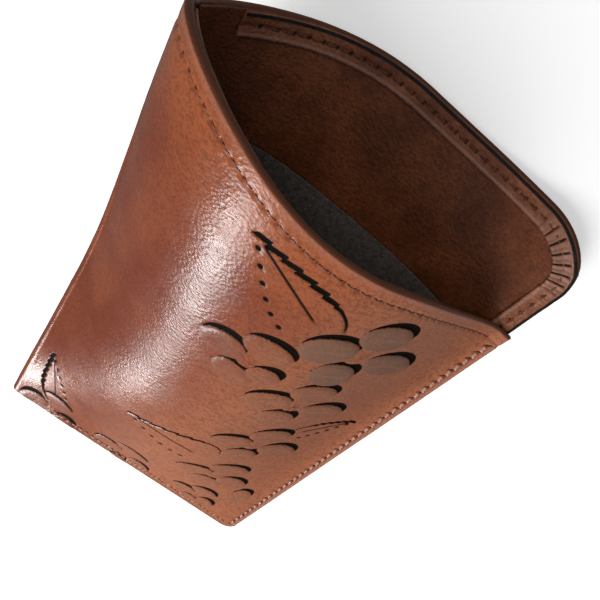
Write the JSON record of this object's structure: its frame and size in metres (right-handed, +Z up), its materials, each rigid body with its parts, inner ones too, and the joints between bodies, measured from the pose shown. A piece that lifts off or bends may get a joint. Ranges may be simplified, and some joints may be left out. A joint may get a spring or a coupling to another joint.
{
  "type": "spectacle slip case",
  "caption": "Soft leather spectacle slip case, folded on one side, sewn on the other and along the bottom, with a raised lip at its open mouth and floral tooling.",
  "frame": {"origin": "middle of the footprint, on the surface that the back panel lies on", "axes": "+Z up out of the front panel, -Y out of the mouth, +X towards the folded side, -X towards the stitched side"},
  "size_m": [0.0936, 0.1516, 0.0459],
  "materials": {
    "outer_leather": "semi-gloss pebbled brown leather with black-dyed tooling",
    "inner_leather": "semi-gloss dark brown leather",
    "felt": "dark grey felt",
    "board": "grey-brown fibre board",
    "brown_thread": "waxed brown thread",
    "pale_thread": "waxed pinkish-tan thread"
  },
  "bodies": {
    "root": {"outer_leather": "outer_leather", "lip_hem": "inner_leather", "front_hem": "inner_leather", "lip_facing": "inner_leather", "front_facing": "inner_leather", "back_lining": "felt", "front_lining": "felt", "back_stiffener": "board", "front_stiffener": "board", "mouth_stitching": "brown_thread", "lip_stitching": "brown_thread", "side_seam_stitching": "pale_thread", "bottom_seam_stitching": "pale_thread"}
  },
  "joints": []
}
